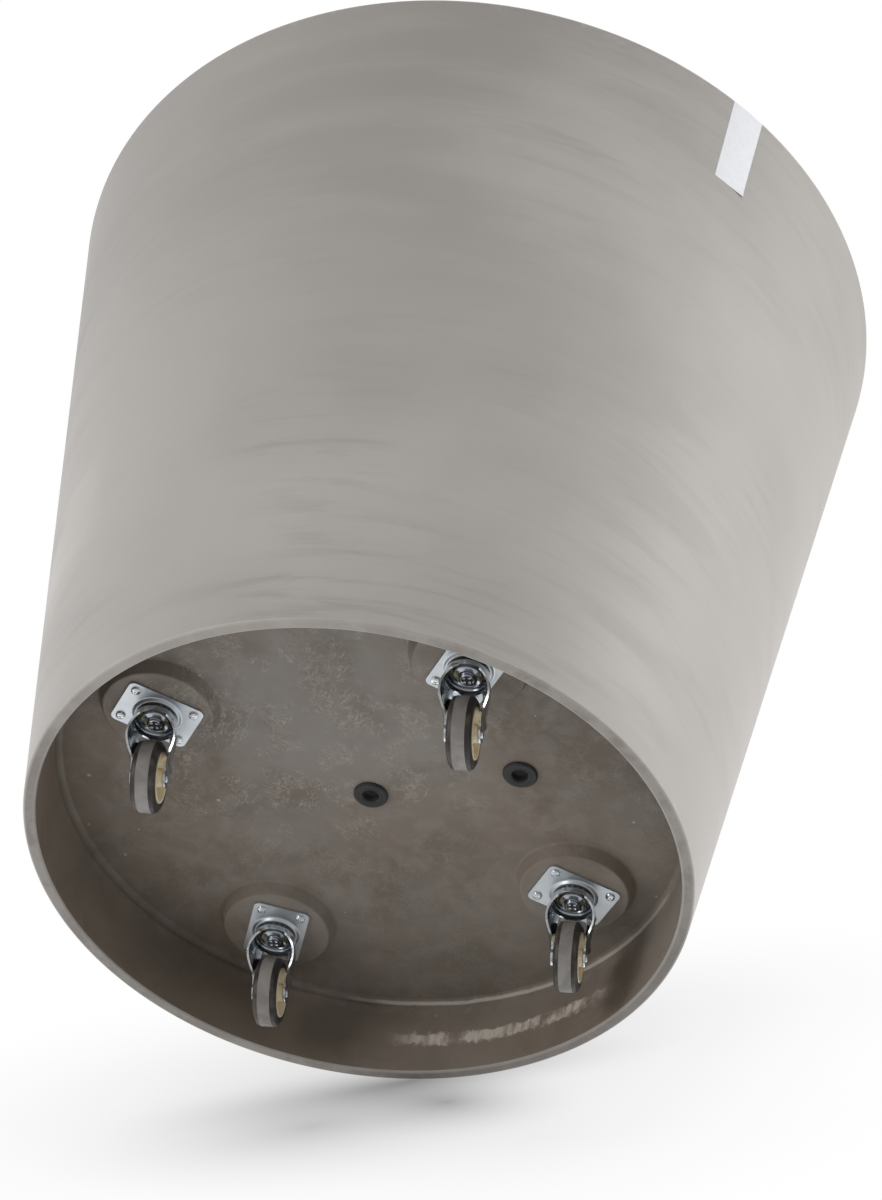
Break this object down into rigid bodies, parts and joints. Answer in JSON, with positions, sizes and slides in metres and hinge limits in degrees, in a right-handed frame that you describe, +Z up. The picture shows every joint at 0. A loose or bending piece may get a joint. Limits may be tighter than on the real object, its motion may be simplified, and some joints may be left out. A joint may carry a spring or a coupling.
{
  "type": "rolling planter",
  "caption": "Large round tapered planter with a recessed floor, standing on swivel casters screwed to bosses inside its skirt, with rubber drain plugs in the floor.",
  "frame": {"origin": "on the ground under the pot's axis, at the bottom centre of the part's box", "axes": "+Z up along the pot's axis; +X from the axis towards the outer drain plug; the casters stand at 45, 135, 225 and 315 degrees from +X"},
  "size_m": [0.9489, 0.949, 0.8915],
  "materials": {
    "pot_composite": "matte brushed stone-like moulded composite, taupe grey",
    "label_white": "plain white paper-like strip",
    "plug_rubber": "black moulded rubber",
    "zinc_plate": "bright zinc-plated pressed sheet",
    "screw_steel": "zinc-plated steel",
    "king_steel": "bright riveted steel",
    "race_steel": "bright pressed race",
    "ball_steel": "polished steel balls",
    "zinc_fork": "bright zinc-plated pressed fork",
    "bolt_steel": "zinc-plated steel",
    "hub_nylon": "natural beige moulded nylon",
    "tyre_rubber": "grey non-marking rubber with darker side walls"
  },
  "bodies": {
    "pot": {"pot_shell": "pot_composite", "label_strip": "label_white", "mounting_plate_1": "zinc_plate", "plate_screws_1": "screw_steel", "kingpin_1": "king_steel", "lower_race_cup_1": "race_steel", "mounting_plate_2": "zinc_plate", "plate_screws_2": "screw_steel", "kingpin_2": "king_steel", "lower_race_cup_2": "race_steel", "mounting_plate_3": "zinc_plate", "plate_screws_3": "screw_steel", "kingpin_3": "king_steel", "lower_race_cup_3": "race_steel", "mounting_plate_4": "zinc_plate", "plate_screws_4": "screw_steel", "kingpin_4": "king_steel", "lower_race_cup_4": "race_steel"},
    "plug_centre": {"drain_plug_centre": "plug_rubber"},
    "plug_side": {"drain_plug_side": "plug_rubber"},
    "swivel_1": {"fork_1": "zinc_fork", "upper_balls_1": "ball_steel", "lower_balls_1": "ball_steel", "axle_bolt_1": "bolt_steel", "axle_nut_1": "bolt_steel", "axle_sleeve_1": "bolt_steel"},
    "wheel_1": {"wheel_hub_1": "hub_nylon", "tyre_1": "tyre_rubber"},
    "swivel_2": {"fork_2": "zinc_fork", "upper_balls_2": "ball_steel", "lower_balls_2": "ball_steel", "axle_bolt_2": "bolt_steel", "axle_nut_2": "bolt_steel", "axle_sleeve_2": "bolt_steel"},
    "wheel_2": {"wheel_hub_2": "hub_nylon", "tyre_2": "tyre_rubber"},
    "swivel_3": {"fork_3": "zinc_fork", "upper_balls_3": "ball_steel", "lower_balls_3": "ball_steel", "axle_bolt_3": "bolt_steel", "axle_nut_3": "bolt_steel", "axle_sleeve_3": "bolt_steel"},
    "wheel_3": {"wheel_hub_3": "hub_nylon", "tyre_3": "tyre_rubber"},
    "swivel_4": {"fork_4": "zinc_fork", "upper_balls_4": "ball_steel", "lower_balls_4": "ball_steel", "axle_bolt_4": "bolt_steel", "axle_nut_4": "bolt_steel", "axle_sleeve_4": "bolt_steel"},
    "wheel_4": {"wheel_hub_4": "hub_nylon", "tyre_4": "tyre_rubber"}
  },
  "joints": [
    {"name": "swivel_turn_1", "type": "hinge", "parent": "pot", "child": "swivel_1", "pos_m": [0.17324, 0.17324, 0.085], "axis": [0, 0, 1], "continuous": true},
    {"name": "wheel_roll_1", "type": "hinge", "parent": "swivel_1", "child": "wheel_1", "pos_m": [0.16483, 0.20463, 0.038], "axis": [-0.9659, -0.2588, 0], "continuous": true},
    {"name": "swivel_turn_2", "type": "hinge", "parent": "pot", "child": "swivel_2", "pos_m": [-0.17324, 0.17324, 0.085], "axis": [0, 0, 1], "continuous": true},
    {"name": "wheel_roll_2", "type": "hinge", "parent": "swivel_2", "child": "wheel_2", "pos_m": [-0.18138, 0.20471, 0.038], "axis": [-0.9681, -0.2504, 0], "continuous": true},
    {"name": "swivel_turn_3", "type": "hinge", "parent": "pot", "child": "swivel_3", "pos_m": [-0.17324, -0.17324, 0.085], "axis": [0, 0, 1], "continuous": true},
    {"name": "wheel_roll_3", "type": "hinge", "parent": "swivel_3", "child": "wheel_3", "pos_m": [-0.18247, -0.14208, 0.038], "axis": [-0.9588, -0.284, 0], "continuous": true},
    {"name": "swivel_turn_4", "type": "hinge", "parent": "pot", "child": "swivel_4", "pos_m": [0.17324, -0.17324, 0.085], "axis": [0, 0, 1], "continuous": true},
    {"name": "wheel_roll_4", "type": "hinge", "parent": "swivel_4", "child": "wheel_4", "pos_m": [0.16538, -0.14171, 0.038], "axis": [-0.9703, -0.2419, 0], "continuous": true},
    {"name": "plug_pull_centre", "type": "slide", "parent": "pot", "child": "plug_centre", "axis": [0, 0, -1], "range_m": [0, 0.04]},
    {"name": "plug_pull_side", "type": "slide", "parent": "pot", "child": "plug_side", "axis": [0, 0, -1], "range_m": [0, 0.04]}
  ]
}
